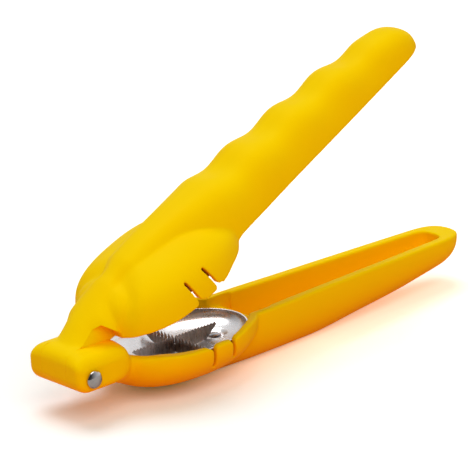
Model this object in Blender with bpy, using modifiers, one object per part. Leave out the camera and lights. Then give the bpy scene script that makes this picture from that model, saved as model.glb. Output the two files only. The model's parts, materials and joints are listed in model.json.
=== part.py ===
# Chestnut cutter: two moulded levers on one hinge pin. Each jaw holds a pressed steel cup,
# and the lower cup carries two toothed blades that cross.
# Both levers are modelled as they lie when closed: hinge axis on Y through the origin,
# handles along +X, jaws meeting on a level plane. The upper lever is then turned open.

import math

import bmesh
import bpy

MM = 0.001
DEG = math.pi / 180

# Whole tool
LEVER_LENGTH = 167.5 * MM
RIM_HEIGHT = 2.0 * MM
RIM_GAP = 0.4 * MM
OPENING_ANGLE = 21.2 * DEG
SEAT_GAP = 0.3 * MM
OVERRUN = 3.0 * MM
MERGE_DISTANCE = 0.005 * MM
SMOOTH_ANGLE = 35 * DEG
RING_STEPS = 18
TURN_STEPS = 40
BOWL_STEPS = 7
ROUND_STEPS = 24
DOME_STEPS = 4
CORNER_STEPS = 6

# Hinge block
BLOCK_HALF_WIDTH = 12.8 * MM
EAR_THICKNESS = 6.4 * MM
EAR_FRONT = 5.4 * MM
EAR_TOP = 7.6 * MM
EAR_BOTTOM = 4.7 * MM
EAR_REAR = 15.4 * MM
EAR_NOSE_RADIUS = 4.4 * MM
EAR_REAR_RADIUS = 6.2 * MM
EAR_EDGE_ROUND = 3.0 * MM
SLOT_END = 9.5 * MM
TONGUE_REAR = 5.2 * MM
TONGUE_TOP_REAR = 7.8 * MM

# Hinge pin and washer
PIN_RADIUS = 1.8 * MM
PIN_CLEARANCE = 0.2 * MM
PIN_HEAD_RADIUS = 3.1 * MM
PIN_HEAD_HEIGHT = 1.5 * MM
TAIL_RADIUS = 2.6 * MM
TAIL_HEIGHT = 1.0 * MM
WASHER_RADIUS = 3.5 * MM
WASHER_THICKNESS = 0.8 * MM

# Jaws
JAW_CENTRE = 43.7 * MM
JAW_HALF_LENGTH = 30.2 * MM
JAW_HALF_WIDTH = 21.9 * MM
JAW_DEPTH = 15.6 * MM
JAW_ROUNDNESS = 2.5
JAW_END_WALL = 3.3 * MM
JAW_SIDE_WALL = 2.4 * MM
HOLLOW_INSET = 4.0 * MM
HOLLOW_DEPTH = 10.4 * MM

# Steel cups
CUP_HALF_LENGTH = JAW_HALF_LENGTH - JAW_END_WALL - SEAT_GAP
CUP_HALF_WIDTH = JAW_HALF_WIDTH - JAW_SIDE_WALL - SEAT_GAP
CUP_DEPTH = 6.8 * MM
CUP_DROP = 2.9 * MM
CUP_SHEET = 0.6 * MM

# Snap fingers, cut free by two slits in each side of each jaw
SLIT_WIDTH = 1.0 * MM
FINGER_WIDTH = 7.6 * MM
LOWER_FINGER_CENTRE = 47.0 * MM
UPPER_FINGER_CENTRE = 44.0 * MM
LOWER_SLIT_DEPTH = 6.2 * MM
UPPER_SLIT_DEPTH = 8.4 * MM
BARB_REACH = 0.7 * MM
BARB_HEIGHT = 1.1 * MM
BARB_MARGIN = 1.2 * MM

# Cup rivets and their bosses
RIVET_INSET = 10.0 * MM
RIVET_OFFSET = CUP_HALF_LENGTH - RIVET_INSET
RIVET_RADIUS = 1.1 * MM
RIVET_HEAD_RADIUS = 2.1 * MM
RIVET_HEAD_HEIGHT = 0.9 * MM
RIVET_LENGTH = 5.0 * MM
BOSS_RADIUS = 3.4 * MM

# Blades
BLADE_THICKNESS = 0.8 * MM
TEETH_DROP = 3.5 * MM
LONG_BLADE_HALF = 17.4 * MM
CROSS_BLADE_HALF = 15.6 * MM
BLADE_END_SLANT = 4.6 * MM
LONG_TOOTH_PITCH = 1.9 * MM
LONG_TOOTH_HEIGHT = 0.8 * MM
CROSS_TOOTH_PITCH = 2.5 * MM
CROSS_TOOTH_HEIGHT = 1.4 * MM
LONG_TOOTH_LEAN_SHARE = 0.5
CROSS_TOOTH_LEAN_SHARE = 0.8
LAP_CLEARANCE = 0.25 * MM
TAB_WIDTH = 3.0 * MM
TAB_REACH = 1.3 * MM
LONG_TAB_OFFSET = 8.0 * MM
CROSS_TAB_OFFSET = 7.0 * MM

# Handles
HANDLE_HALF_WIDTH = 13.0 * MM
HANDLE_WALL = 2.6 * MM
TIP_RADIUS = 12.0 * MM
CHANNEL_START = 73.4 * MM
KEEL_DEPTH = 17.8 * MM
REST_SKIM = 0.25 * MM
REST_FACE_X = 74.0 * MM
SPINE_HEIGHT = 21.4 * MM
WAVE_PITCH = 20.6 * MM
WAVE_DEPTH = 1.9 * MM
WAVE_START = 69.0 * MM
WAVE_COUNT = 4
HANDLE_LIFT = 9.4 * MM
NOTCH_TIP = 8.4 * MM
NOTCH_TOP = 9.6 * MM
NOTCH_TOP_X = 11.4 * MM
NOTCH_REAR_X = 16.8 * MM

# Half-width, depth and roundness along a lever. First column: share of the lever's length.
LOWER_WIDTH_SHARES = ((0.05, 0.93), (0.085, 0.9), (0.11, 0.8), (0.2, 0.82), (0.33, 0.93),
                      (0.42, 1.0), (0.6, 0.895), (0.8, 0.765), (1.0, 0.62))
LOWER_DEPTH_SHARES = ((0.05, 0.36), (0.105, 0.62), (0.175, 0.875), (0.24, 0.97), (0.3, 1.0),
                      (0.56, 1.0), (0.71, 0.885), (0.82, 0.78), (0.88, 0.695), (0.94, 0.6), (1.0, 0.5))
LOWER_ROUNDNESS_SHARES = ((0.05, 3.6), (0.2, 3.0), (0.4, 3.0), (1.0, 2.7))
UPPER_WIDTH_SHARES = ((0.0, 0.7), (0.055, 0.74), (0.095, 0.95), (0.15, 0.8), (0.27, 0.79), (0.35, 0.89),
                      (0.42, 1.0), (0.6, 0.895), (0.8, 0.765), (1.0, 0.62))
UPPER_HEIGHT_SHARES = ((0.0, 0.22), (0.02, 0.3), (0.036, 0.36), (0.054, 0.435), (0.078, 0.52),
                       (0.102, 0.6), (0.15, 0.73), (0.21, 0.85), (0.27, 0.91), (0.35, 0.945),
                       (0.42, 0.965), (0.54, 0.985), (0.66, 1.01), (0.78, 1.02), (0.9, 0.99), (1.0, 0.93))
UPPER_ROUNDNESS_SHARES = ((0.0, 2.2), (0.095, 2.1), (0.16, 2.3), (0.3, 2.4), (0.45, 2.8), (1.0, 2.7))
UPPER_LIFT_SHARES = ((0.0, 0.0), (0.385, 0.0), (0.425, 0.24), (0.5, 0.36), (0.75, 0.68), (1.0, 1.0))
STATION_SHARES = (0.075, 0.1, 0.13, 0.17, 0.21, 0.26, 0.3, 0.35, 0.385, 0.42, 0.49, 0.56, 0.63, 0.7, 0.77,
                  0.84, 0.89)
TIP_SHARES = (0.0, 0.35, 0.6, 0.78, 0.9, 0.97, 0.995)

YELLOW = (0.86, 0.50, 0.004, 1.0)
STEEL = (0.62, 0.62, 0.60, 1.0)


def clear_scene():
    for obj in list(bpy.data.objects):
        bpy.data.objects.remove(obj)


def new_collection(name):
    collection = bpy.data.collections.new(name)
    bpy.context.scene.collection.children.link(collection)
    return collection


def new_material(name, colour, roughness, metallic):
    material = bpy.data.materials.new(name)
    material.use_nodes = True
    shader = material.node_tree.nodes["Principled BSDF"]
    shader.inputs["Base Color"].default_value = colour
    shader.inputs["Roughness"].default_value = roughness
    shader.inputs["Metallic"].default_value = metallic
    material.diffuse_color = colour
    return material


def helper(obj, collection):
    """Keep an object as a cutter or a piece to join, out of the model itself."""
    for owner in list(obj.users_collection):
        owner.objects.unlink(obj)
    collection.objects.link(obj)
    obj.hide_render = True
    obj.display_type = "WIRE"
    return obj


def mesh_object(name, bm, collection):
    bmesh.ops.recalc_face_normals(bm, faces=bm.faces)
    mesh = bpy.data.meshes.new(name)
    bm.to_mesh(mesh)
    bm.free()
    obj = bpy.data.objects.new(name, mesh)
    bpy.context.scene.collection.objects.link(obj)
    return helper(obj, collection)


def baked(obj):
    """Turn a curve, or a mesh with modifiers, into a plain welded mesh."""
    graph = bpy.context.evaluated_depsgraph_get()
    graph.update()
    mesh = bpy.data.meshes.new_from_object(obj.evaluated_get(graph))
    bm = bmesh.new()
    bm.from_mesh(mesh)
    bm.transform(obj.matrix_world)
    bmesh.ops.remove_doubles(bm, verts=bm.verts, dist=MERGE_DISTANCE)
    bm.to_mesh(mesh)
    bm.free()
    name = obj.name
    collection = obj.users_collection[0]
    bpy.data.objects.remove(obj)
    solid = bpy.data.objects.new(name, mesh)
    collection.objects.link(solid)
    return helper(solid, collection)


def smooth_between(table, share):
    """Read a table of shares with a smooth curve through its points."""
    if share <= table[0][0]:
        return table[0][1]
    if share >= table[-1][0]:
        return table[-1][1]
    last = len(table) - 1
    i = 0
    while table[i + 1][0] < share:
        i += 1

    def slope(k):
        before = table[max(k - 1, 0)]
        here = table[k]
        after = table[min(k + 1, last)]
        if (here[1] - before[1]) * (after[1] - here[1]) <= 0:
            return 0.0
        return (after[1] - before[1]) / (after[0] - before[0])

    width = table[i + 1][0] - table[i][0]
    t = (share - table[i][0]) / width
    start = (1 + 2 * t) * (1 - t) ** 2 * table[i][1] + t * (1 - t) ** 2 * width * slope(i)
    end = t * t * (3 - 2 * t) * table[i + 1][1] + t * t * (t - 1) * width * slope(i + 1)
    return start + end


def u_ring(x, half_width, open_z, closed_z, roundness):
    """One section of a trough or a hood: a half superellipse whose mouth is at open_z."""
    ring = []
    for step in range(RING_STEPS + 1):
        angle = math.pi * step / RING_STEPS
        side = math.copysign(abs(math.cos(angle)) ** (2 / roundness), math.cos(angle))
        rise = math.sin(angle) ** (2 / roundness) if 0 < step < RING_STEPS else 0.0
        ring.append((x, half_width * side, open_z + (closed_z - open_z) * rise))
    return ring


def loft(name, rings, collection):
    """Skin a row of unlike sections and cap both ends."""
    bm = bmesh.new()
    rows = [[bm.verts.new(point) for point in ring] for ring in rings]
    for first, second in zip(rows, rows[1:]):
        for i in range(len(first)):
            j = (i + 1) % len(first)
            bm.faces.new((first[i], first[j], second[j], second[i]))
    bm.faces.new(rows[0])
    bm.faces.new(reversed(rows[-1]))
    return mesh_object(name, bm, collection)


def turned(name, profile, collection, steps=TURN_STEPS):
    """Turn a profile of (radius, height) points round Z."""
    bm = bmesh.new()
    row = [bm.verts.new((radius, 0, height)) for radius, height in profile]
    for first, second in zip(row, row[1:]):
        bm.edges.new((first, second))
    mesh = bpy.data.meshes.new(name)
    bm.to_mesh(mesh)
    bm.free()
    obj = bpy.data.objects.new(name, mesh)
    bpy.context.scene.collection.objects.link(obj)
    screw = obj.modifiers.new("turn", "SCREW")
    screw.steps = steps
    screw.render_steps = steps
    screw.use_merge_vertices = True
    screw.merge_threshold = MERGE_DISTANCE
    return baked(helper(obj, collection))


def extruded(name, outline, low_y, high_y, collection):
    """Extrude a closed outline of (x, z) points along Y."""
    curve = bpy.data.curves.new(name, "CURVE")
    curve.dimensions = "2D"
    curve.fill_mode = "BOTH"
    curve.extrude = (high_y - low_y) / 2
    spline = curve.splines.new("POLY")
    spline.points.add(len(outline) - 1)
    for point, (x, z) in zip(spline.points, outline):
        point.co = (x, z, 0, 1)
    spline.use_cyclic_u = True
    obj = bpy.data.objects.new(name, curve)
    obj.rotation_euler = (math.pi / 2, 0, 0)
    obj.location = (0, (low_y + high_y) / 2, 0)
    bpy.context.scene.collection.objects.link(obj)
    helper(obj, collection)
    bpy.context.view_layer.update()
    return baked(obj)


def box(name, low, high, collection):
    bm = bmesh.new()
    bmesh.ops.create_cube(bm, size=1)
    for vert in bm.verts:
        for axis in range(3):
            middle = (low[axis] + high[axis]) / 2
            vert.co[axis] = middle + vert.co[axis] * (high[axis] - low[axis])
    return mesh_object(name, bm, collection)


def cylinder(name, radius, low, high, centre, axis, collection):
    """A round bar along Y or Z from low to high."""
    bm = bmesh.new()
    length = high - low
    bmesh.ops.create_cone(bm, cap_ends=True, segments=ROUND_STEPS,
                          radius1=radius, radius2=radius, depth=length)
    middle = (low + high) / 2
    for vert in bm.verts:
        x, y, z = vert.co
        if axis == "Y":
            vert.co = (centre[0] + x, middle + z, centre[1] - y)
        else:
            vert.co = (centre[0] + x, centre[1] + y, middle + z)
    return mesh_object(name, bm, collection)


def combine(target, other, operation):
    modifier = target.modifiers.new(other.name, "BOOLEAN")
    modifier.operation = operation
    modifier.solver = "EXACT"
    modifier.object = other


def join(target, *others):
    for other in others:
        combine(target, other, "UNION")


def cut(target, *others):
    for other in others:
        combine(target, other, "DIFFERENCE")


def stretched(obj, scale_x, scale_y, place):
    """Scale a turned unit shape to an oval and put it in its place."""
    for vert in obj.data.vertices:
        vert.co = (place[0] + vert.co.x * scale_x, place[1] + vert.co.y * scale_y, place[2] + vert.co.z)
    return obj


def rounded_outline(corners):
    """Replace each corner (x, z, radius) of an outline by an arc."""
    outline = []
    count = len(corners)
    for i, (x, z, radius) in enumerate(corners):
        before = corners[i - 1]
        after = corners[(i + 1) % count]
        to_before = (before[0] - x, before[1] - z)
        to_after = (after[0] - x, after[1] - z)
        size_before = math.hypot(*to_before)
        size_after = math.hypot(*to_after)
        unit_before = (to_before[0] / size_before, to_before[1] / size_before)
        unit_after = (to_after[0] / size_after, to_after[1] / size_after)
        half = math.acos(unit_before[0] * unit_after[0] + unit_before[1] * unit_after[1]) / 2
        reach = min(radius / math.tan(half), size_before / 2, size_after / 2)
        arc_radius = reach * math.tan(half)
        to_centre = (unit_before[0] + unit_after[0], unit_before[1] + unit_after[1])
        scale = arc_radius / math.sin(half) / math.hypot(*to_centre)
        centre = (x + to_centre[0] * scale, z + to_centre[1] * scale)
        start = (x + unit_before[0] * reach - centre[0], z + unit_before[1] * reach - centre[1])
        end = (x + unit_after[0] * reach - centre[0], z + unit_after[1] * reach - centre[1])
        start_angle = math.atan2(start[1], start[0])
        turn = math.atan2(start[0] * end[1] - start[1] * end[0], start[0] * end[0] + start[1] * end[1])
        for step in range(CORNER_STEPS + 1):
            angle = start_angle + turn * step / CORNER_STEPS
            arm = (arc_radius * math.cos(angle), arc_radius * math.sin(angle))
            outline.append((centre[0] + arm[0], centre[1] + arm[1]))
    return outline


def superellipse_depth(share):
    return max(0.0, 1 - share ** JAW_ROUNDNESS) ** (1 / JAW_ROUNDNESS)


def bowl_profile(depth, wall):
    """A filled bowl of unit radius: flat mouth, straight wall, then a rounded floor."""
    profile = [(0, wall), (1, wall)]
    if wall > 0:
        profile.append((1, 0))
    for step in range(1, BOWL_STEPS):
        angle = math.pi / 2 * step / BOWL_STEPS
        radius = math.cos(angle) ** (2 / JAW_ROUNDNESS)
        profile.append((radius, -depth * superellipse_depth(radius)))
    profile.append((0, -depth))
    return profile


def tip_fade(x, inset):
    """How far a section has shrunk in the rounded end of a handle."""
    reach = TIP_RADIUS - inset
    into_tip = max(0.0, x - (LEVER_LENGTH - TIP_RADIUS))
    return math.sqrt(max(0.0, 1 - (into_tip / reach) ** 2))


def stations(first, inset):
    """Places along a lever, close together where its tip is round."""
    places = [first]
    tip_start = LEVER_LENGTH - TIP_RADIUS
    for share in STATION_SHARES:
        x = share * LEVER_LENGTH
        if first + OVERRUN / 3 < x < tip_start - OVERRUN / 3:
            places.append(x)
    for share in TIP_SHARES:
        places.append(tip_start + share * (TIP_RADIUS - inset))
    return places


def lower_section(x, inset, open_z):
    share = x / LEVER_LENGTH
    half_width = HANDLE_HALF_WIDTH * smooth_between(LOWER_WIDTH_SHARES, share) - inset
    depth = KEEL_DEPTH * smooth_between(LOWER_DEPTH_SHARES, share) - inset
    fade = tip_fade(x, inset)
    roundness = smooth_between(LOWER_ROUNDNESS_SHARES, share)
    return u_ring(x, half_width * fade, open_z, RIM_HEIGHT - depth * fade, roundness)


def crest_line(x):
    return RIM_HEIGHT + SPINE_HEIGHT * smooth_between(UPPER_HEIGHT_SHARES, x / LEVER_LENGTH)


def wave(x):
    """Finger waves dip below the crest line between their first and last crest."""
    along = (x - WAVE_START) / WAVE_PITCH
    if not 0 < along < WAVE_COUNT:
        return 0.0
    return WAVE_DEPTH * (1 - math.cos(2 * math.pi * along)) / 2


def lift_line(x):
    return RIM_HEIGHT + RIM_GAP + HANDLE_LIFT * smooth_between(UPPER_LIFT_SHARES, x / LEVER_LENGTH)


def upper_section(x, inset, open_z, waves):
    share = x / LEVER_LENGTH
    half_width = HANDLE_HALF_WIDTH * smooth_between(UPPER_WIDTH_SHARES, share) - inset
    fade = tip_fade(x, inset)
    dip = wave(x) if waves else WAVE_DEPTH
    height = crest_line(x) - dip - inset - lift_line(x)
    roundness = smooth_between(UPPER_ROUNDNESS_SHARES, share)
    return u_ring(x, half_width * fade, open_z, lift_line(x) + height * fade, roundness)


def wave_stations():
    steps = CORNER_STEPS
    return [WAVE_START + WAVE_PITCH * i / steps for i in range(1, WAVE_COUNT * steps)]


def ear_outline():
    return rounded_outline((
        (-EAR_FRONT, -EAR_BOTTOM, EAR_NOSE_RADIUS),
        (EAR_REAR, -EAR_BOTTOM, EAR_NOSE_RADIUS),
        (EAR_REAR, EAR_TOP, EAR_REAR_RADIUS),
        (-EAR_FRONT, EAR_TOP, EAR_NOSE_RADIUS),
    ))


def ear(name, side, cutters):
    """One hinge ear, with the edge of its outer face rounded."""
    inner = BLOCK_HALF_WIDTH - EAR_THICKNESS
    low_y, high_y = sorted((side * inner, side * BLOCK_HALF_WIDTH))
    obj = extruded(name, ear_outline(), low_y, high_y, cutters)
    mesh = obj.data
    weights = mesh.attributes.new("bevel_weight_edge", "FLOAT", "EDGE")
    for edge in mesh.edges:
        ends = [mesh.vertices[i].co.y * side for i in edge.vertices]
        weights.data[edge.index].value = 1.0 if min(ends) > BLOCK_HALF_WIDTH - SEAT_GAP else 0.0
    bevel = obj.modifiers.new("edge", "BEVEL")
    bevel.limit_method = "WEIGHT"
    bevel.width = EAR_EDGE_ROUND
    bevel.segments = 4
    return obj


def turned_bar(name, profile, cutters):
    """A turned piece whose axis lies on Y."""
    obj = turned(name, profile, cutters, ROUND_STEPS)
    for vert in obj.data.vertices:
        x, y, z = vert.co
        vert.co = (x, -z, y)
    return obj


def jaw_bowl(name, cutters):
    obj = turned(name, bowl_profile(JAW_DEPTH, 0), cutters)
    return stretched(obj, JAW_HALF_LENGTH, JAW_HALF_WIDTH, (JAW_CENTRE, 0, RIM_HEIGHT))


def cup_seat(name, cutters):
    """The space that a cup and the mouth above it take out of a jaw."""
    obj = turned(name, bowl_profile(CUP_DEPTH + SEAT_GAP, CUP_DROP + OVERRUN), cutters)
    place = (JAW_CENTRE, 0, RIM_HEIGHT - CUP_DROP)
    return stretched(obj, CUP_HALF_LENGTH + SEAT_GAP, CUP_HALF_WIDTH + SEAT_GAP, place)


def jaw_hollow(name, cutters):
    """The moulding is hollow under its cup, which rests on the ledge left round this space."""
    obj = turned(name, bowl_profile(HOLLOW_DEPTH, OVERRUN / 2), cutters)
    place = (JAW_CENTRE, 0, RIM_HEIGHT - CUP_DROP)
    return stretched(obj, CUP_HALF_LENGTH - HOLLOW_INSET, CUP_HALF_WIDTH - HOLLOW_INSET, place)


def cup_floor(offset_x, offset_y, inner):
    """Height of a cup's floor at a place given from the cup's centre."""
    half_length = CUP_HALF_LENGTH - (CUP_SHEET if inner else 0)
    half_width = CUP_HALF_WIDTH - (CUP_SHEET if inner else 0)
    depth = CUP_DEPTH - (CUP_SHEET if inner else 0)
    share = min(1.0, math.hypot(offset_x / half_length, offset_y / half_width))
    return RIM_HEIGHT - CUP_DROP - depth * superellipse_depth(share)


def rivet_boss(name, cutters):
    """A post under the cup, bored for its rivet."""
    centre = (JAW_CENTRE + RIVET_OFFSET, 0)
    low = RIM_HEIGHT - CUP_DROP - HOLLOW_DEPTH - SEAT_GAP
    high = cup_floor(RIVET_OFFSET - BOSS_RADIUS, 0, False) - SEAT_GAP
    return cylinder(name, BOSS_RADIUS, low, high, centre, "Z", cutters)


def rivet_bore(name, cutters):
    centre = (JAW_CENTRE + RIVET_OFFSET, 0)
    low = cup_floor(RIVET_OFFSET, 0, True) - RIVET_LENGTH - SEAT_GAP
    return cylinder(name, RIVET_RADIUS + SEAT_GAP, low, RIM_HEIGHT, centre, "Z", cutters)


def slits(prefix, finger_centre, depth, cutters):
    """Two slits on each side, which free a snap finger between them."""
    made = []
    for side in (-1, 1):
        for end in (-1, 1):
            middle = finger_centre + end * (FINGER_WIDTH + SLIT_WIDTH) / 2
            low_y, high_y = sorted((side * HANDLE_HALF_WIDTH, side * (JAW_HALF_WIDTH + OVERRUN)))
            low = (middle - SLIT_WIDTH / 2, low_y, RIM_HEIGHT - depth)
            high = (middle + SLIT_WIDTH / 2, high_y, RIM_HEIGHT + OVERRUN)
            made.append(box(f"{prefix}_slit_{len(made)}", low, high, cutters))
    return made


def finger_barb(name, side, finger_centre, cutters):
    """A small hook on a snap finger that reaches over the cup's edge."""
    offset = finger_centre - JAW_CENTRE
    wall_share = math.sqrt(1 - (offset / (CUP_HALF_LENGTH + SEAT_GAP)) ** 2)
    wall = (CUP_HALF_WIDTH + SEAT_GAP) * wall_share
    low_y, high_y = sorted((side * (wall - BARB_REACH), side * (JAW_HALF_WIDTH + wall) / 2))
    foot = RIM_HEIGHT - CUP_DROP + SEAT_GAP
    half = FINGER_WIDTH / 2 - BARB_MARGIN
    low = (finger_centre - half, low_y, foot)
    high = (finger_centre + half, high_y, foot + BARB_HEIGHT)
    obj = box(name, low, high, cutters)
    for vert in obj.data.vertices:
        if vert.co.z > foot + BARB_HEIGHT / 2 and vert.co.y * side < wall:
            vert.co.y += side * BARB_REACH
    return obj


def flipped(*objects):
    """Turn jaw features over, so that they face down from the upper lever's rim."""
    for obj in objects:
        for vert in obj.data.vertices:
            vert.co.z = 2 * RIM_HEIGHT + RIM_GAP - vert.co.z
        bm = bmesh.new()
        bm.from_mesh(obj.data)
        bmesh.ops.recalc_face_normals(bm, faces=bm.faces)
        bm.to_mesh(obj.data)
        bm.free()
    return objects


def finished(obj, name, material, collection):
    """Bake the Booleans and shade the piece."""
    solid = baked(obj)
    for owner in list(solid.users_collection):
        owner.objects.unlink(solid)
    collection.objects.link(solid)
    solid.name = name
    solid.data.name = name
    solid.hide_render = False
    solid.display_type = "TEXTURED"
    solid.data.materials.clear()
    solid.data.materials.append(material)
    solid.data.shade_smooth()
    solid.data.set_sharp_from_angle(angle=SMOOTH_ANGLE)
    return solid


def pin_bore(name, cutters):
    reach = BLOCK_HALF_WIDTH + OVERRUN
    return cylinder(name, PIN_RADIUS + PIN_CLEARANCE, -reach, reach, (0, 0), "Y", cutters)


def lower_handle(material, tool, cutters):
    rings = [lower_section(x, 0, RIM_HEIGHT) for x in stations(SLOT_END, 0)]
    body = loft("lower_hull", rings, cutters)
    join(body, jaw_bowl("lower_jaw_bowl", cutters), ear("near_ear", -1, cutters), ear("far_ear", 1, cutters))
    above = RIM_HEIGHT + OVERRUN
    channel = [lower_section(x, HANDLE_WALL, above) for x in stations(CHANNEL_START, HANDLE_WALL)]
    cut(body, cup_seat("lower_cup_seat", cutters), jaw_hollow("lower_jaw_hollow", cutters))
    cut(body, loft("lower_channel", channel, cutters))
    join(body, rivet_boss("lower_boss", cutters))
    cut(body, rivet_bore("lower_rivet_bore", cutters), pin_bore("ear_bore", cutters))
    cut(body, *slits("lower", LOWER_FINGER_CENTRE, LOWER_SLIT_DEPTH, cutters))
    for side in (-1, 1):
        join(body, finger_barb(f"lower_barb_{side}", side, LOWER_FINGER_CENTRE, cutters))
    keel = RIM_HEIGHT - KEEL_DEPTH
    low = (0, -JAW_HALF_WIDTH, keel - OVERRUN)
    high = (LEVER_LENGTH, JAW_HALF_WIDTH, keel + REST_SKIM)
    cut(body, box("rest_plane", low, high, cutters))
    return finished(body, "lower_handle", material, tool)


def tongue(cutters):
    """The upper lever's knuckle. Its front is flush with the ears at the opening shown."""
    corners = (
        (-EAR_FRONT, -EAR_BOTTOM, EAR_NOSE_RADIUS),
        (TONGUE_REAR, -EAR_BOTTOM, EAR_NOSE_RADIUS),
        (TONGUE_TOP_REAR, EAR_TOP, EAR_EDGE_ROUND),
        (-EAR_FRONT, EAR_TOP, EAR_NOSE_RADIUS),
    )
    cos = math.cos(OPENING_ANGLE)
    sin = math.sin(OPENING_ANGLE)
    outline = [(x * cos + z * sin, z * cos - x * sin) for x, z in rounded_outline(corners)]
    half = BLOCK_HALF_WIDTH - EAR_THICKNESS - SEAT_GAP
    return extruded("tongue", outline, -half, half, cutters)


def notch(name, side, cutters):
    """Room in the upper lever's side wall, where an ear lies when the tool is closed."""
    outline = (
        (-LEVER_LENGTH / 8, -LEVER_LENGTH / 8),
        (NOTCH_REAR_X, -LEVER_LENGTH / 8),
        (NOTCH_REAR_X, RIM_HEIGHT),
        (NOTCH_TOP_X, NOTCH_TOP),
        (0, NOTCH_TIP),
        (-LEVER_LENGTH / 8, NOTCH_TIP - EAR_EDGE_ROUND),
    )
    inner = BLOCK_HALF_WIDTH - EAR_THICKNESS - 2 * SEAT_GAP
    low_y, high_y = sorted((side * inner, side * (BLOCK_HALF_WIDTH + OVERRUN)))
    return extruded(name, outline, low_y, high_y, cutters)


def upper_handle(material, tool, cutters):
    wave_end = WAVE_START + WAVE_PITCH * WAVE_COUNT
    plain = [x for x in stations(0, 0) if not WAVE_START - OVERRUN < x < wave_end + OVERRUN]
    rings = [upper_section(x, 0, lift_line(x), True) for x in sorted(plain + wave_stations())]
    body = loft("upper_hull", rings, cutters)
    join(body, *flipped(jaw_bowl("upper_jaw_bowl", cutters)))
    cut(body, *flipped(cup_seat("upper_cup_seat", cutters), jaw_hollow("upper_jaw_hollow", cutters)))
    channel = []
    for x in stations(CHANNEL_START, HANDLE_WALL):
        channel.append(upper_section(x, HANDLE_WALL, RIM_HEIGHT - OVERRUN, False))
    cut(body, loft("upper_channel", channel, cutters))
    join(body, *flipped(rivet_boss("upper_boss", cutters)))
    cut(body, *flipped(rivet_bore("upper_rivet_bore", cutters)))
    cut(body, *flipped(*slits("upper", UPPER_FINGER_CENTRE, UPPER_SLIT_DEPTH, cutters)))
    for side in (-1, 1):
        join(body, *flipped(finger_barb(f"upper_barb_{side}", side, UPPER_FINGER_CENTRE, cutters)))
    cut(body, notch("near_notch", -1, cutters), notch("far_notch", 1, cutters))
    join(body, tongue(cutters))
    cut(body, pin_bore("tongue_bore", cutters))
    return finished(body, "upper_handle", material, tool)


def dome(radius, height, base):
    """Profile of a domed head from its top to its edge."""
    points = []
    for step in range(DOME_STEPS + 1):
        angle = math.pi / 2 * step / DOME_STEPS
        points.append((radius * math.sin(angle), base + height * math.cos(angle)))
    return points


def hinge_pin(material, tool, cutters):
    near = BLOCK_HALF_WIDTH + SEAT_GAP
    far = BLOCK_HALF_WIDTH + WASHER_THICKNESS + 2 * SEAT_GAP
    profile = dome(PIN_HEAD_RADIUS, PIN_HEAD_HEIGHT, near)
    profile += [(PIN_RADIUS, near), (PIN_RADIUS, -far)]
    profile += [(radius, -height) for radius, height in reversed(dome(TAIL_RADIUS, TAIL_HEIGHT, far))]
    return finished(turned_bar("pin", profile, cutters), "hinge_pin", material, tool)


def hinge_washer(material, tool, cutters):
    inner = PIN_RADIUS + PIN_CLEARANCE
    high = -(BLOCK_HALF_WIDTH + SEAT_GAP)
    low = high - WASHER_THICKNESS
    profile = [(inner, high), (WASHER_RADIUS, high), (WASHER_RADIUS, low), (inner, low), (inner, high)]
    return finished(turned_bar("washer", profile, cutters), "hinge_washer", material, tool)


def cup(name, has_blades, material, tool, cutters):
    """A pressed cup: an open skin with its sheet thickness inside, pierced for rivet and tabs."""
    skin = turned(f"{name}_skin", bowl_profile(CUP_DEPTH, 0)[1:], cutters)
    stretched(skin, CUP_HALF_LENGTH, CUP_HALF_WIDTH, (JAW_CENTRE, 0, RIM_HEIGHT - CUP_DROP))
    sheet = skin.modifiers.new("sheet", "SOLIDIFY")
    sheet.thickness = CUP_SHEET
    sheet.offset = -1
    sheet.use_even_offset = True
    cut(skin, rivet_bore(f"{name}_rivet_hole", cutters))
    if has_blades:
        cut(skin, *tab_slots(cutters))
    else:
        skin = baked(skin)
        flipped(skin)
    return finished(skin, name, material, tool)


def tab_places():
    """Centre and half sizes of each blade tab, seen from the cup's centre."""
    half_width = TAB_WIDTH / 2
    half_sheet = BLADE_THICKNESS / 2
    places = [(side * LONG_TAB_OFFSET, 0, half_width, half_sheet) for side in (-1, 1)]
    places += [(0, side * CROSS_TAB_OFFSET, half_sheet, half_width) for side in (-1, 1)]
    return places


def tab_slots(cutters):
    made = []
    for x, y, half_x, half_y in tab_places():
        bottom = RIM_HEIGHT - CUP_DROP - CUP_DEPTH - TAB_REACH
        low = (JAW_CENTRE + x - half_x - LAP_CLEARANCE, y - half_y - LAP_CLEARANCE, bottom)
        high = (JAW_CENTRE + x + half_x + LAP_CLEARANCE, y + half_y + LAP_CLEARANCE, RIM_HEIGHT - CUP_DROP)
        made.append(box(f"tab_slot_{len(made)}", low, high, cutters))
    return made


def blade_outline(half, tooth_pitch, tooth_height, lean_share, tab_offset, floor_at):
    """Teeth along the top, slanted ends, a lower edge that follows the cup, and two tabs."""
    top = RIM_HEIGHT - TEETH_DROP
    count = max(3, round(2 * half / tooth_pitch))
    pitch = 2 * half / count
    outline = []
    for i in range(count):
        start = -half + pitch * i
        outline.append((start, top - tooth_height))
        outline.append((start + pitch * lean_share, top))
    outline.append((half, top - tooth_height))
    foot_half = half - BLADE_END_SLANT
    tab_bottom = RIM_HEIGHT - CUP_DROP - CUP_DEPTH - TAB_REACH
    near_tab = tab_offset - TAB_WIDTH / 2
    far_tab = tab_offset + TAB_WIDTH / 2
    runs = ((foot_half, far_tab), (near_tab, -near_tab), (-far_tab, -foot_half))
    for run, (start, end) in enumerate(runs):
        if run > 0:
            outline.append((runs[run - 1][1], tab_bottom))
            outline.append((start, tab_bottom))
        for step in range(CORNER_STEPS // 2 + 1):
            place = start + (end - start) * step * 2 / CORNER_STEPS
            outline.append((place, floor_at(place) + SEAT_GAP))
    return outline


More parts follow.
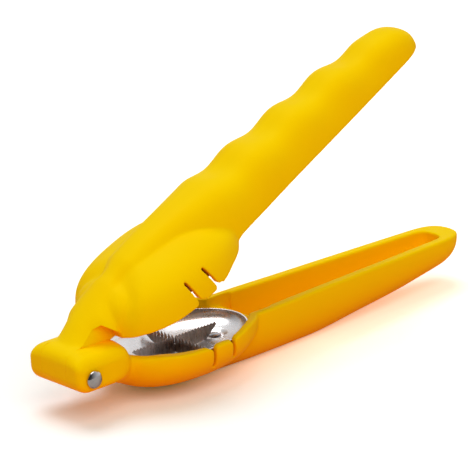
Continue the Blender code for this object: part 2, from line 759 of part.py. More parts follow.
def lap_height():
    """Where the two blades' half-lap slots meet."""
    top = RIM_HEIGHT - TEETH_DROP
    bottom = cup_floor(0, 0, True) + SEAT_GAP
    return (top + bottom) / 2


def blades(material, tool, cutters):
    half = BLADE_THICKNESS / 2
    slot = half + LAP_CLEARANCE
    long_outline = blade_outline(LONG_BLADE_HALF, LONG_TOOTH_PITCH, LONG_TOOTH_HEIGHT, LONG_TOOTH_LEAN_SHARE,
                                 LONG_TAB_OFFSET, lambda place: cup_floor(place, 0, True))
    placed = [(JAW_CENTRE + x, z) for x, z in long_outline]
    long_blade = extruded("long_strip", placed, -half, half, cutters)
    low = (JAW_CENTRE - slot, -OVERRUN, lap_height() - LAP_CLEARANCE)
    high = (JAW_CENTRE + slot, OVERRUN, RIM_HEIGHT)
    cut(long_blade, box("long_lap_slot", low, high, cutters))

    cross_outline = blade_outline(CROSS_BLADE_HALF, CROSS_TOOTH_PITCH, CROSS_TOOTH_HEIGHT,
                                  CROSS_TOOTH_LEAN_SHARE, CROSS_TAB_OFFSET,
                                  lambda place: cup_floor(0, place, True))
    cross_blade = extruded("cross_strip", cross_outline, -half, half, cutters)
    for vert in cross_blade.data.vertices:
        x, y, z = vert.co
        vert.co = (JAW_CENTRE - y, x, z)
    low = (JAW_CENTRE - OVERRUN, -slot, RIM_HEIGHT - KEEL_DEPTH)
    high = (JAW_CENTRE + OVERRUN, slot, lap_height() + LAP_CLEARANCE)
    cut(cross_blade, box("cross_lap_slot", low, high, cutters))
    return [
        finished(long_blade, "long_blade", material, tool),
        finished(cross_blade, "cross_blade", material, tool),
    ]


def cup_rivet(name, upside_down, material, tool, cutters):
    """A domed rivet through a cup's floor into its boss."""
    seat = cup_floor(RIVET_OFFSET + RIVET_HEAD_RADIUS, 0, True) + SEAT_GAP
    foot = cup_floor(RIVET_OFFSET, 0, True) - RIVET_LENGTH
    profile = dome(RIVET_HEAD_RADIUS, RIVET_HEAD_HEIGHT, seat)
    profile += [(RIVET_RADIUS, seat), (RIVET_RADIUS, foot), (0, foot)]
    obj = turned(name, profile, cutters, ROUND_STEPS)
    stretched(obj, 1, 1, (JAW_CENTRE + RIVET_OFFSET, 0, 0))
    if upside_down:
        flipped(obj)
    return finished(obj, name, material, tool)


def frame_at_pin(name, angle, children, tool):
    """Hang a lever's pieces on an empty that lies on the hinge axis."""
    frame = bpy.data.objects.new(name, None)
    frame.empty_display_size = BLOCK_HALF_WIDTH
    tool.objects.link(frame)
    keel = RIM_HEIGHT - KEEL_DEPTH + REST_SKIM
    frame.location = (-REST_FACE_X, 0, -keel)
    frame.rotation_euler = (0, -angle, 0)
    for child in children:
        child.parent = frame


def main():
    clear_scene()
    tool = new_collection("chestnut_cutter")
    cutters = new_collection("cutters")
    cutters.hide_render = True
    yellow = new_material("yellow_plastic", YELLOW, 0.38, 0.0)
    cup_steel = new_material("pressed_steel", STEEL, 0.18, 1.0)
    blade_steel = new_material("blade_steel", STEEL, 0.3, 1.0)
    pin_steel = new_material("pin_steel", STEEL, 0.22, 1.0)
    lower = [
        lower_handle(yellow, tool, cutters),
        hinge_pin(pin_steel, tool, cutters),
        hinge_washer(pin_steel, tool, cutters),
        cup("lower_cup", True, cup_steel, tool, cutters),
        cup_rivet("lower_cup_rivet", False, pin_steel, tool, cutters),
    ]
    lower += blades(blade_steel, tool, cutters)
    upper = [
        upper_handle(yellow, tool, cutters),
        cup("upper_cup", False, cup_steel, tool, cutters),
        cup_rivet("upper_cup_rivet", True, pin_steel, tool, cutters),
    ]
    frame_at_pin("lower_lever", 0, lower, tool)
    frame_at_pin("upper_lever", OPENING_ANGLE, upper, tool)


main()
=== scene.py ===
import json
import math

import bmesh
import bpy
import numpy as np
from mathutils import Matrix, Vector


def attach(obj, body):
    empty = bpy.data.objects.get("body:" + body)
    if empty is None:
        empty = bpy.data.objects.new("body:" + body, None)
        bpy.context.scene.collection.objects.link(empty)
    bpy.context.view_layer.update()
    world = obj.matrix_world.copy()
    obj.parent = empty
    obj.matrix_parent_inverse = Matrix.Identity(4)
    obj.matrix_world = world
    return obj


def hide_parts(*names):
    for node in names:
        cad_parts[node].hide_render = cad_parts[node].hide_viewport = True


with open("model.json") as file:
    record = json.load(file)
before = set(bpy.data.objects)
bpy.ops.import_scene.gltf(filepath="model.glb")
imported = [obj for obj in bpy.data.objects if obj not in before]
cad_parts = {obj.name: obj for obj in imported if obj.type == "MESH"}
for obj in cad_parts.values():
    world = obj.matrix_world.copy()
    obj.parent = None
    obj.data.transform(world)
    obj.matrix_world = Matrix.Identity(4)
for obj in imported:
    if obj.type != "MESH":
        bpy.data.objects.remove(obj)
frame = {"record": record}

mm = 0.001
deg = math.pi / 180


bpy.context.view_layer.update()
hinge = frame["record"]["behaviour"]["joints"][0]
pinPlace = Vector(hinge["pos_m"])
openAngle = -hinge["range_deg"][0] * deg
lowerPlace = Matrix.Translation(pinPlace) @ Matrix.Scale(mm, 4)
upperPlace = Matrix.Translation(pinPlace) @ Matrix.Rotation(-openAngle, 4, "Y") @ Matrix.Scale(mm, 4)

# Every shape is drawn in millimetres from the hinge pin, with the tool closed, and then put in its place.
tool = {
    "length": 167.4,
    "rim": 2.0,          # height of the plane where the jaws meet, above the pin
    "rimGap": 0.4,       # between the closed rims
    "rimRound": 0.7,     # radius of the rim's outer and inner edges
    "rimLeast": 0.6,     # share of a section's width that this rounding always leaves
    "openPast": 4,       # how far a channel's cutter runs on past the rim
    "tipRadius": 12.0,
    "tipSquareness": 2.9,
    "tipLeast": 1e-4,    # the tip's last section keeps this share of its size
    "wall": 2.6,
    "seat": 0.3,         # play between parts that fit together
    "grain": 0.33,       # size of the cells that the mouldings are fused from
    "smoothRounds": 12,
    "sharpAngle": 62,
}
# How many steps the levers' skins are drawn with.
fineness = {"tip": 32, "bowl": 120, "side": 97, "leastStep": 0.02, "halvings": 40}
weld = 0.002 * mm        # points closer than this become one


# Curves and meshes

def smoothCurve(points, x):
    # A smooth line through the points that never swings past them.
    stations = np.array([p[0] for p in points], float)
    values = np.array([p[1] for p in points], float)
    steps = np.diff(values) / np.diff(stations)
    slopes = np.zeros(len(points))
    for i in range(1, len(points) - 1):
        if steps[i - 1] * steps[i] > 0:
            slopes[i] = 2 * steps[i - 1] * steps[i] / (steps[i - 1] + steps[i])
    slopes[0], slopes[-1] = steps[0], steps[-1]
    x = np.clip(x, stations[0], stations[-1])
    i = np.clip(np.searchsorted(stations, x, side="right") - 1, 0, len(points) - 2)
    width = stations[i + 1] - stations[i]
    t = (x - stations[i]) / width
    start = (1 + 2 * t) * (1 - t) ** 2 * values[i] + t * (1 - t) ** 2 * width * slopes[i]
    end = t * t * (3 - 2 * t) * values[i + 1] + t * t * (t - 1) * width * slopes[i + 1]
    return start + end


def smoothMax(a, b, width):
    overlap = np.maximum(width - np.abs(a - b), 0) / width
    return np.maximum(a, b) + overlap * overlap * width / 4


def ovalRadius(angle, halfWidth, height, power):
    across = np.abs(np.cos(angle)) / halfWidth
    up = np.abs(np.sin(angle)) / height
    return (across ** power + up ** power) ** (-1 / power)


def meshObject(name, points, faces, place):
    mesh = bpy.data.meshes.new(name)
    mesh.from_pydata([tuple(p) for p in points], [], faces)
    piece = bpy.data.objects.new(name, mesh)
    bpy.context.scene.collection.objects.link(piece)
    mesh.transform(place)
    squareUp(piece)
    return piece


def squareUp(piece):
    bm = bmesh.new()
    bm.from_mesh(piece.data)
    bmesh.ops.remove_doubles(bm, verts=bm.verts, dist=weld)
    bmesh.ops.recalc_face_normals(bm, faces=bm.faces)
    bm.to_mesh(piece.data)
    bm.free()


def ringSkin(name, rings, place):
    # Joins closed rings of equal length and caps the first and last.
    count = len(rings[0])
    points = np.concatenate(rings)
    faces = []
    for row in range(len(rings) - 1):
        for i in range(count):
            j = (i + 1) % count
            low, high = row * count, (row + 1) * count
            faces.append((low + i, low + j, high + j, high + i))
    faces.append(tuple(range(count)))
    faces.append(tuple(range(len(points) - count, len(points))))
    return meshObject(name, points, faces, place)


def turnedSkin(name, profile, place, steps=96):
    # Turns (radius, height) points round Z.
    angles = np.arange(steps) * 2 * math.pi / steps
    points, faces = [], []
    for radius, height in profile:
        for angle in angles:
            points.append((radius * math.cos(angle), radius * math.sin(angle), height))
    for row in range(len(profile) - 1):
        for i in range(steps):
            j = (i + 1) % steps
            faces.append((row * steps + i, row * steps + j, (row + 1) * steps + j, (row + 1) * steps + i))
    return meshObject(name, points, faces, place)


def prism(name, outline, lowY, highY, place):
    rings = [np.array([(x, y, z) for x, z in outline]) for y in (lowY, highY)]
    return ringSkin(name, rings, place)


def block(name, low, high, place):
    outline = [(low[0], low[2]), (high[0], low[2]), (high[0], high[2]), (low[0], high[2])]
    return prism(name, outline, low[1], high[1], place)


def roundedOutline(corners, steps=10):
    outline = []
    for i, (x, z, radius) in enumerate(corners):
        here = Vector((x, z))
        before = Vector(corners[i - 1][:2]) - here
        after = Vector(corners[(i + 1) % len(corners)][:2]) - here
        half = before.angle(after) / 2
        reach = min(radius / math.tan(half), before.length / 2, after.length / 2)
        radius = reach * math.tan(half)
        middle = (before.normalized() + after.normalized()).normalized()
        centre = here + middle * (radius / math.sin(half))
        start = here + before.normalized() * reach - centre
        turn = start.angle_signed(here + after.normalized() * reach - centre)
        for step in range(steps + 1):
            arm = start.copy()
            arm.rotate(Matrix.Rotation(-turn * step / steps, 2))
            outline.append(tuple(centre + arm))
    return outline


def pillow(name, outline, size, place, steps=8):
    # A block across Y: its top falls away towards both sides, and its outer edges are rounded.
    flat = np.array(outline)
    ahead = np.roll(flat, -1, 0) - flat
    flat = flat[np.hypot(ahead[:, 0], ahead[:, 1]) > size["leastStep"]]
    tangent = np.roll(flat, -1, 0) - np.roll(flat, 1, 0)
    tangent /= np.hypot(tangent[:, 0], tangent[:, 1])[:, None]
    normal = np.stack([tangent[:, 1], -tangent[:, 0]], 1)
    if np.sum(flat[:, 0] * np.roll(flat[:, 1], -1) - np.roll(flat[:, 0], -1) * flat[:, 1]) < 0:
        normal = -normal
    top = flat[:, 1].max()
    halfWidth, edge = size["halfWidth"], size["edge"]
    oneSide = [(halfWidth - edge) * i / steps for i in range(steps)]
    oneSide += [halfWidth - edge + edge * math.sin(math.pi / 2 * i / steps) for i in range(steps + 1)]
    rings = []
    for y in [-value for value in reversed(oneSide)] + oneSide[1:]:
        over = max(0, abs(y) - halfWidth + edge)
        shrink = edge - math.sqrt(max(0, edge * edge - over * over))
        fall = size["crown"] * (abs(y) / halfWidth) ** size["crownPower"]
        ring = flat - normal * shrink
        ring[:, 1] -= fall * np.clip(flat[:, 1] / top, 0, 1) ** size["crownFade"]
        rings.append(np.stack([ring[:, 0], np.full(len(ring), y), ring[:, 1]], 1))
    return ringSkin(name, rings, place)


def shape(target, tools, operation):
    for other in tools:
        change = target.modifiers.new(other.name, "BOOLEAN")
        change.operation = operation
        change.solver = "MANIFOLD"
        change.object = other
        bake(target)
        bpy.data.objects.remove(other)


def bake(piece):
    graph = bpy.context.evaluated_depsgraph_get()
    graph.update()
    mesh = bpy.data.meshes.new_from_object(piece.evaluated_get(graph))
    piece.modifiers.clear()
    piece.data = mesh


def addModifier(piece, kind, **settings):
    change = piece.modifiers.new(kind.lower(), kind)
    for key, value in settings.items():
        setattr(change, key, value)
    return change


def coordinates(piece):
    points = np.empty(len(piece.data.vertices) * 3)
    piece.data.vertices.foreach_get("co", points)
    return points.reshape(-1, 3)


def soften(piece, weights, rounds, factor=0.5):
    # Smooths the mesh where the weights are high, as a fillet in the mould would be.
    group = piece.vertex_groups.new(name="fillet")
    for index in np.nonzero(weights > 0.01)[0]:
        group.add([int(index)], float(weights[index]), "REPLACE")
    addModifier(piece, "SMOOTH", factor=factor, iterations=rounds, vertex_group="fillet")
    bake(piece)
    piece.vertex_groups.clear()


def shadeSmooth(piece, sharpAngle=None):
    piece.data.shade_smooth()
    if sharpAngle:
        piece.data.set_sharp_from_angle(angle=sharpAngle * deg)


def finish(piece, body, slotName, material, *nodes):
    piece.data.materials.clear()
    piece.data.materials.append(material)
    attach(piece, body)
    if nodes:
        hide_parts(*nodes)
    return piece


# Materials

def nodeMaterial(name):
    material = bpy.data.materials.new(name)
    material.use_nodes = True
    tree = material.node_tree
    shader = tree.nodes["Principled BSDF"]
    place = tree.nodes.new("ShaderNodeTexCoord")
    return material, tree, shader, place


def noise(tree, place, scale, detail, stretch=(1, 1, 1)):
    mapping = tree.nodes.new("ShaderNodeMapping")
    mapping.inputs["Scale"].default_value = stretch
    texture = tree.nodes.new("ShaderNodeTexNoise")
    texture.inputs["Scale"].default_value = scale
    texture.inputs["Detail"].default_value = detail
    tree.links.new(place.outputs["Object"], mapping.inputs["Vector"])
    tree.links.new(mapping.outputs["Vector"], texture.inputs["Vector"])
    return texture.outputs["Fac"]


noiseRange = (0.3, 0.7)      # where most of a noise texture's values lie


def ramp(tree, value, *ends):
    colours = tree.nodes.new("ShaderNodeValToRGB")
    for stop, position, colour in zip(colours.color_ramp.elements, noiseRange, ends):
        stop.position = position
        stop.color = colour
    tree.links.new(value, colours.inputs["Fac"])
    return colours.outputs["Color"]


def mapped(tree, value, fromRange, toRange=(0, 1)):
    change = tree.nodes.new("ShaderNodeMapRange")
    change.inputs["From Min"].default_value, change.inputs["From Max"].default_value = fromRange
    change.inputs["To Min"].default_value, change.inputs["To Max"].default_value = toRange
    tree.links.new(value, change.inputs["Value"])
    return change.outputs["Result"]


def mixed(tree, share, low, high, kind="FLOAT"):
    # Goes from one to the other as the share goes from nought to one; each is a value or a socket.
    mix = tree.nodes.new("ShaderNodeMix")
    mix.data_type = kind
    sockets = [socket for socket in mix.inputs if socket.enabled and socket.name in ("A", "B")]
    tree.links.new(share, mix.inputs[0])
    for socket, value in zip(sockets, (low, high)):
        if isinstance(value, bpy.types.NodeSocket):
            tree.links.new(value, socket)
        else:
            socket.default_value = value
    return [socket for socket in mix.outputs if socket.enabled][0]


def mixedColour(tree, share, low, high):
    return mixed(tree, share, low, high, "RGBA")


def bump(tree, shader, value, height, strength=1.0):
    relief = tree.nodes.new("ShaderNodeBump")
    relief.inputs["Distance"].default_value = height
    relief.inputs["Strength"].default_value = strength
    tree.links.new(value, relief.inputs["Height"])
    tree.links.new(relief.outputs["Normal"], shader.inputs["Normal"])


plasticFinish = {
    "lit": (0.88, 0.63, 0.0, 1),
    "deep": (0.88, 0.6, 0.0, 1),
    "paintedShade": (1.0, 0.46, 0.0, 1),       # painted shade: corners and hollows turn this orange, standing in for the dyed light that bounces most there
    "paintedShadeReach": 40 * mm,
    "paintedShadeRange": (0.2, 0.86),
    "paintedShadeSamples": 12,
    "roughness": (0.42, 0.52),
    "shine": 0.03,
    "shineTint": (1, 0.7, 0.1, 1),
    "patches": (38, 3),                # scale and detail of each noise
    "wear": (90, 4),
    "grain": (1400, 2),
    "grainHeight": 0.003 * mm,
}


def yellowPlastic():
    material, tree, shader, place = nodeMaterial("yellowPlastic")
    look = plasticFinish
    tone = ramp(tree, noise(tree, place, *look["patches"]), look["deep"], look["lit"])
    # Painted shade: ambient occlusion pulls corners and hollows towards the painted-shade orange.
    paintedShadeOcclusion = tree.nodes.new("ShaderNodeAmbientOcclusion")
    paintedShadeOcclusion.inputs["Distance"].default_value = look["paintedShadeReach"]
    paintedShadeOcclusion.samples = look["paintedShadeSamples"]
    share = mapped(tree, paintedShadeOcclusion.outputs["AO"], look["paintedShadeRange"])
    tree.links.new(mixedColour(tree, share, look["paintedShade"], tone), shader.inputs["Base Color"])
    rough = mapped(tree, noise(tree, place, *look["wear"]), noiseRange, look["roughness"])
    tree.links.new(rough, shader.inputs["Roughness"])
    shader.inputs["Specular IOR Level"].default_value = look["shine"]
    shader.inputs["Specular Tint"].default_value = look["shineTint"]
    bump(tree, shader, noise(tree, place, *look["grain"]), look["grainHeight"])
    return material


steelFinish = {
    "cup": {
        "light": (0.92, 0.91, 0.92, 1), "dark": (0.82, 0.81, 0.82, 1),
        "roughness": (0.24, 0.3), "relief": 0.08, "stretch": (1, 1, 1),
    },
    "blade": {       # its noise is drawn out along the grinding
        "light": (0.52, 0.49, 0.48, 1), "dark": (0.34, 0.31, 0.3, 1),
        "roughness": (0.24, 0.36), "relief": 0.3, "stretch": (8, 8, 0.7),
    },
    "pin": {
        "light": (0.6, 0.59, 0.6, 1), "dark": (0.45, 0.44, 0.45, 1),
        "roughness": (0.12, 0.2), "relief": 0.2, "stretch": (1, 1, 1),
    },
}
steelNoise = {"patches": (160, 3), "fine": (420, 5), "height": 0.01 * mm}


def steel(kind):
    look = steelFinish[kind]
    material, tree, shader, place = nodeMaterial(kind + "Steel")
    shader.inputs["Metallic"].default_value = 1.0
    patches = noise(tree, place, *steelNoise["patches"], look["stretch"])
    tree.links.new(ramp(tree, patches, look["dark"], look["light"]), shader.inputs["Base Color"])
    fine = noise(tree, place, *steelNoise["fine"], look["stretch"])
    tree.links.new(mapped(tree, fine, noiseRange, look["roughness"]), shader.inputs["Roughness"])
    bump(tree, shader, fine, steelNoise["height"], look["relief"])
    return material


print("materials")
plastic = yellowPlastic()
cupSteel, bladeSteel, pinSteel = steel("cup"), steel("blade"), steel("pin")


# Lever skins

jaw = {
    "centre": 43.7,
    "halfLength": 30.2,
    "halfWidth": 21.9,
    "depths": ((13, 15.6), (50, 15.6), (56, 14.9), (60, 13.6), (64, 11.7), (67, 10.7), (74, 9.6)),
    "roundness": ((13, 2.5), (50, 2.5), (60, 3.0), (67, 3.8), (74, 4.2)),   # boxier towards the rear
    "frontFullness": 2.8,
    "rearFullness": 2.0,
    "crease": 0.35,       # width of the fillet where the bowl meets the lever's back
    "leafEdge": ((15, 0), (16.4, 3), (18.5, 7.2), (20.5, 10.2), (23, 13.2), (27.5, 16.8), (33, 18.6)),
    "groove": 1.7,        # depth of the valley along the leaf's front edge
    "grooveWidth": 1.3,
    "grooveFade": ((14.5, 0), (17.5, 1), (25, 1), (33, 0)),
    "bow": (              # how far the rim sinks along the jaw
        (9, 0), (13, 0), (17, 0.1), (21, 0.35), (25, 0.7), (33, 1.3), (41, 1.4), (50, 1.35), (54, 1.0),
        (59, 0.12), (61, 0),
    ),
    "outside": 30.0,      # farther out than any section of the bowl
}

hingeBlock = {
    "halfWidth": 12.9,
    "front": -5.4,
    "bottom": -4.7,
    "top": 8.2,
    "rear": 16.4,
    "edge": 2.4,
    "crown": 2.9,        # how far the top falls towards the sides
    "crownPower": 3.4,
    "crownFade": 1.5,
    "noseRadius": 4.4,
    "rearRadius": 5.6,
    "knuckleRear": 7.0,
    "knuckleRadius": 3.0,
    "slotHalf": 6.17,
    "slotEnd": 9.5,
    "webEnd": 19,        # the lower jaw is cut level with its rim as far as here
    "tongueHalf": 6.12,
    "pinHole": 2.0,
    "boreSteps": 40,
    "past": 20,          # cutters run on this far past the block
    "leastStep": 0.01,
    # What the tongue's neck leaves free beside it, for the ears.
    "earRoom": ((-20, -20), (17.0, -20), (17.0, 4.4), (12.9, 10.1), (0, 8.7), (-20, 6)),
}

# Tables give pairs of a place along the lever and the size there; a higher power is a boxier section.
lowerLever = {
    "halfWidths": (
        (8, 12.1), (14.2, 11.7), (18.4, 10.4), (33.5, 10.7), (55.3, 12.1), (70, 13.0), (100, 11.6),
        (134, 9.95), (167.5, 8.1),
    ),
    "depths": (
        (8, 6.4), (17.6, 11.0), (29.3, 15.6), (40.2, 17.3), (50, 17.8), (94, 17.8), (119, 15.7),
        (137, 13.9), (147, 12.4), (157.5, 10.7), (167.5, 8.9),
    ),
    "powers": ((8, 3.6), (33, 3.0), (67, 3.0), (167.5, 2.7)),
    "start": 8.0,
    "step": 1.2,
    "channelStart": 73.4,
    "sideWall": 3.7,     # beside the open channel
    "tipWall": 7.6,      # solid end of the handle, behind its open channel
    "restSkim": 0.25,    # taken off the keel, so that the lever stands
    "restBlock": {"start": -20, "end": 180, "halfWidth": 30, "depth": 9},
    "keel": 17.8,        # depth below the rim
    "webCut": ((58, 6), (58, -0.7), (68, -0.9), (71.5, -1.5), (76, -4.5), (76, 6)),   # behind the cup
    "webHalf": 10.2,
    "fillets": (          # centre, reach, rounds and strength
        ((17.5, 13, -2.5), (9, 8, 9), 130, 0.9),
        ((70, 0, -0.5), (12, 14, 5), 40, 0.5),
    ),
    "fingerCentre": 47.0,
    "slits": (((41.9, 0.8), (43.1, -6.9)), ((50.3, 0.8), (51.8, -6.2))),   # mouth and end of each slit
}

upperLever = {
    "halfWidths": (
        (0, 8.2), (9.2, 8.8), (14.5, 11.3), (20, 10.4), (27, 10.0), (45, 10.3), (58.6, 11.6), (70, 13.0),
        (100, 11.6), (134, 9.95), (167.5, 8.1),
    ),
    "heights": (
        (0, 6.7), (3.4, 8.4), (6, 9.7), (9, 11.3), (13, 13.1), (17, 14.8), (25, 17.6), (35, 20.2),
        (45, 21.5), (58.6, 22.2), (70, 22.65), (90, 23.1), (110, 23.6), (131, 23.8), (149, 23.0),
        (158, 22.05), (167.5, 20.0),
    ),
    "powers": ((0, 2.2), (16, 2.2), (27, 2.45), (50, 2.8), (75, 2.8), (167.5, 2.7)),
    # Height of the lever's lower edge.
    "lift": ((0, 2.4), (64.5, 2.4), (71, 4.6), (83.7, 5.8), (125.6, 8.8), (167.5, 11.8)),
    "start": 0.2,
    "step": 0.9,
    "waveStart": 69.0,
    "wavePitch": 20.6,
    "waveDepth": 1.9,
    "waveCount": 4,
    "wavePower": 2.2,     # keeps the finger waves on the lever's back
    "channelStart": 73.4,
    "fingerCentre": 44.0,
    "slits": (((41.3, 1.0), (39.3, 9.9)), ((49.9, 1.0), (47.2, 9.9))),
    "fillet": ((2.5, 0, 9.0), (9, 14, 4.5), 110),      # centre, reach and rounds
}


def jawRadius(x, angle, mouthRise):
    # Distance from the section's centre to the bowl, found by halving the interval.
    front = x < jaw["centre"]
    along = np.abs(x - jaw["centre"]) / jaw["halfLength"]
    fullness = np.where(front, jaw["frontFullness"], jaw["rearFullness"])
    roundness, depth = smoothCurve(jaw["roundness"], x), smoothCurve(jaw["depths"], x)
    low = np.zeros(np.broadcast(x, angle).shape)
    high = np.full(low.shape, jaw["outside"])
    for _ in range(fineness["halvings"]):
        middle = (low + high) / 2
        rise = np.maximum(middle * np.sin(angle) + mouthRise, 0) / depth
        flat = along ** fullness + (middle * np.cos(angle) / jaw["halfWidth"]) ** 2
        inside = rise ** roundness + flat ** (roundness / 2) < 1
        low = np.where(inside, middle, low)
        high = np.where(inside, high, middle)
    return low


def rimBow(x):
    # The jaws meet on a line that bows down along their sides.
    return smoothCurve(jaw["bow"], x)


def leafGroove(x, z):
    # Valley between the neck and the front edge of the leaf that covers the upper jaw.
    step = 0.1
    edge = smoothCurve(jaw["leafEdge"], x)
    slope = (smoothCurve(jaw["leafEdge"], x + step) - edge) / step
    away = (z - edge) / np.sqrt(1 + slope * slope) / jaw["grooveWidth"]
    return jaw["groove"] * smoothCurve(jaw["grooveFade"], x) * np.exp(-away * away)


def tipFade(x, inset):
    reach = tool["tipRadius"] - inset
    into = np.maximum(0, x - (tool["length"] - tool["tipRadius"])) / reach
    power = tool["tipSquareness"]
    return np.maximum(tool["tipLeast"], 1 - into ** power) ** (1 / power)


def places(start, inset, step):
    # Places along a lever, closer together round its tip and at the jaw's ends.
    tipStart = tool["length"] - tool["tipRadius"]
    even = np.arange(start, tipStart, step)
    turn = np.linspace(0, math.pi / 2, fineness["tip"])
    tip = tipStart + (tool["tipRadius"] - inset) * np.sin(turn) ** (2 / tool["tipSquareness"])
    sweep = np.linspace(-math.pi / 2, math.pi / 2, fineness["bowl"])
    bowl = jaw["centre"] + jaw["halfLength"] * np.sin(sweep)
    every = np.sort(np.concatenate([even, tip, bowl[bowl > start]]))
    return every[np.concatenate([[True], np.diff(every) > fineness["leastStep"]])]


def waveDip(x):
    along = (x - upperLever["waveStart"]) / upperLever["wavePitch"]
    inside = (along > 0) & (along < upperLever["waveCount"])
    return np.where(inside, upperLever["waveDepth"] * (1 - np.cos(2 * math.pi * along)) / 2, 0)


sideAngles = math.pi * (1 - np.cos(np.linspace(0, math.pi, fineness["side"]))) / 2


def roundedRim(y, fromRim, outward):
    # Draws the skin in at its rim, or lets a cutter flare out there.
    size = tool["rimRound"]
    into = np.clip(1 - fromRim / size, 0, 1)
    change = size * (1 - np.sqrt(1 - into * into))
    if outward:
        return y + np.sign(y) * change
    return np.sign(y) * np.maximum(np.abs(y) - change, tool["rimLeast"] * np.abs(y))


def sectionRings(x, radius, middle, side, openZ, outward):
    # Half sections on a line of middles: side is -1 for the lower lever and 1 for the upper one.
    rings = []
    for i, place in enumerate(x[:, 0]):
        across, away = radius[i] * np.cos(sideAngles), radius[i] * np.sin(sideAngles)
        y = roundedRim(across, away, outward)
        z = middle[i] + side * away
        rings.append(closeRing(np.stack([np.full(len(y), place), y, z], 1), openZ))
    return rings


def lowerRings(start, inset, openZ, withJaw):
    tipInset = 0 if withJaw else lowerLever["tipWall"]
    x = places(start, tipInset, lowerLever["step"])[:, None]
    angle = sideAngles[None, :]
    fade = tipFade(x, tipInset)
    halfWidth = (smoothCurve(lowerLever["halfWidths"], x) - inset) * fade
    bow = rimBow(x)
    depth = (smoothCurve(lowerLever["depths"], x) - inset) * fade - bow
    radius = ovalRadius(angle, halfWidth, depth, smoothCurve(lowerLever["powers"], x))
    if withJaw:
        radius = smoothMax(radius, jawRadius(x, angle, bow), jaw["crease"])
    return sectionRings(x, radius, tool["rim"] - bow, -1, openZ, not withJaw)


def upperRings(start, inset, openZ, withJaw):
    x = places(start, inset, upperLever["step"])[:, None]
    angle = sideAngles[None, :]
    fade = tipFade(x, inset)
    base = smoothCurve(upperLever["lift"], x) - rimBow(x)
    halfWidth = (smoothCurve(upperLever["halfWidths"], x) - inset) * fade
    dip = waveDip(x) if withJaw else upperLever["waveDepth"]
    height = smoothCurve(upperLever["heights"], x) - inset - base
    if not withJaw:
        height = height - dip
    radius = ovalRadius(angle, halfWidth, height * fade, smoothCurve(upperLever["powers"], x))
    if withJaw:
        radius = radius - dip * np.sin(angle) ** upperLever["wavePower"] * fade
        radius = smoothMax(radius, jawRadius(x, angle, base - tool["rim"] - tool["rimGap"]), jaw["crease"])
        radius = radius - leafGroove(x, base + radius * np.sin(angle))
    return sectionRings(x, radius, base, 1, openZ, not withJaw)


def closeRing(ring, openZ):
    # A cutter's mouth runs on past the rim, so that it opens cleanly.
    if openZ is None:
        return ring
    first, last = ring[:1].copy(), ring[-1:].copy()
    first[:, 2] = openZ
    last[:, 2] = openZ
    return np.concatenate([first, ring, last])


def turnOver(piece):
    # Turns a feature of the lower jaw over, so that it faces down from the upper rim.
    flip = Matrix.Translation((0, 0, 2 * tool["rim"] + tool["rimGap"])) @ Matrix.Diagonal((1, 1, -1, 1))
    piece.data.transform(flip)
    squareUp(piece)
    return piece


cupShape = {
    "halfLength": 26.6,
    "halfWidth": 19.2,
    "depth": 6.8,
    "drop": 2.9,          # the cup's lip lies this far inside the rim
    "sheet": 0.6,
    "edgeRound": 0.16,
    "roundness": 2.5,
    "rivetAt": 16.6,      # the rivet and its level pad lie this far behind the cup's centre
    "padFlat": 2.6,
    "padBlend": 4.6,
    "down": 84,           # steps down the pressed skin, and round it
    "around": 200,
    "mouth": 6,           # the seat's cutter runs on this far past the rim
    "hollowInset": 4.0,   # the hollow below the cup, inside the ledge that it sits on
    "hollowDepth": 10.4,
    "hollowMouth": 1,
}


def bowlProfile(depth, wall, steps=20):
    # A filled bowl of unit radius, with a straight wall above it.
    power = cupShape["roundness"]
    profile = [(0, wall), (1, wall), (1, 0)]
    for i in range(1, steps):
        radius = math.cos(math.pi / 2 * i / steps) ** (2 / power)
        profile.append((radius, -depth * (1 - radius ** power) ** (1 / power)))
    profile.append((0, -depth))
    return profile


def jawCutter(name, depth, wall, grow):
    place = Matrix.Translation((jaw["centre"], 0, tool["rim"] - cupShape["drop"]))
    size = Matrix.Diagonal((cupShape["halfLength"] + grow, cupShape["halfWidth"] + grow, 1, 1))
    return turnedSkin(name, bowlProfile(depth, wall), place @ size)


def jawCutters():
    size = cupShape
    seat = jawCutter("seatCutter", size["depth"] + tool["seat"], size["drop"] + size["mouth"], tool["seat"])
    hollow = jawCutter("hollowCutter", size["hollowDepth"], size["hollowMouth"], -size["hollowInset"])
    return [seat, hollow]


finger = {
    "width": 7.6,
    "slit": 0.95,
    "corner": 1.7,       # radius of the fingers' corners at the rim
    "cornerSteps": 8,
    "past": 3,           # how far a slit's cutter runs on past the rim
    "inner": 13.0,       # the slits' cutters reach from here outwards
    "outer": 25.0,
    "barbReach": 0.7,
    "barbHeight": 1.1,
    "barbMargin": 1.2,
}


def slitOutline(mouth, end):
    # Round at its closed end, and flared at the rim where the fingers' corners are rounded.
    half, corner, steps = finger["slit"] / 2, finger["corner"], finger["cornerSteps"]
    run = Vector(mouth) - Vector(end)
    along, across = run.normalized(), Vector((-run.y, run.x)).normalized()
    angles = [math.pi / 2 * i / steps for i in range(steps + 1)]
    turns = [(math.sin(angle), math.cos(angle)) for angle in angles]
    side = [(half - half * cosine, half * sine) for sine, cosine in turns]
    for sine, cosine in turns:
        side.append((run.length - corner + corner * sine, half + corner - corner * cosine))
    side.append((run.length + finger["past"], half + corner))
    points = [Vector(end) + along * (s - half) + across * t for s, t in side]
    points += [Vector(end) + along * (s - half) - across * t for s, t in reversed(side[1:])]
    return [tuple(point) for point in points]


def slitCutters(slits):
    cutters = []
    for side in (-1, 1):
        lowY, highY = sorted((side * finger["inner"], side * finger["outer"]))
        for mouth, end in slits:
            cutters.append(prism("slitCutter", slitOutline(mouth, end), lowY, highY, Matrix.Identity(4)))
    return cutters


